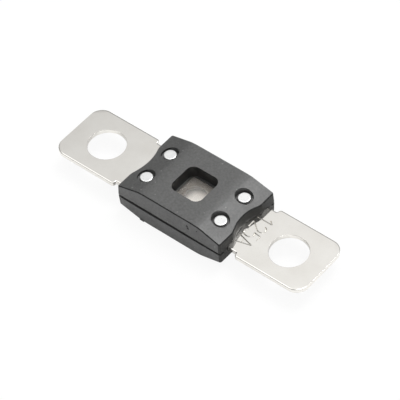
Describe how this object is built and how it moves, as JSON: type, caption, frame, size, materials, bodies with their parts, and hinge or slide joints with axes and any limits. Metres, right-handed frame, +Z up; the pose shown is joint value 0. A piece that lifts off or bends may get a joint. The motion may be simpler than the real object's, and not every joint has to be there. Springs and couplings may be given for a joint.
{
  "type": "bolt down strip fuse",
  "caption": "Flat plated metal strip with a round bolt hole at each end, held in a riveted black moulded housing with a clear window over its melting bridges.",
  "frame": {"origin": "centre of the strip's sheet, midway between the two bolt holes", "axes": "+X along the strip towards the stamped terminal, +Z up out of the face of the strip, +Y across it"},
  "size_m": [0.0688, 0.0188, 0.0092],
  "materials": {
    "plated_strip": "bright tin plate",
    "housing": "fine moulded texture",
    "window": "clear moulded plastic",
    "rivet": "satin"
  },
  "bodies": {
    "root": {"fuse_strip": "plated_strip", "upper_shell": "housing", "lower_shell": "housing", "upper_window": "window", "lower_window": "window", "rivets": "rivet"}
  },
  "joints": []
}
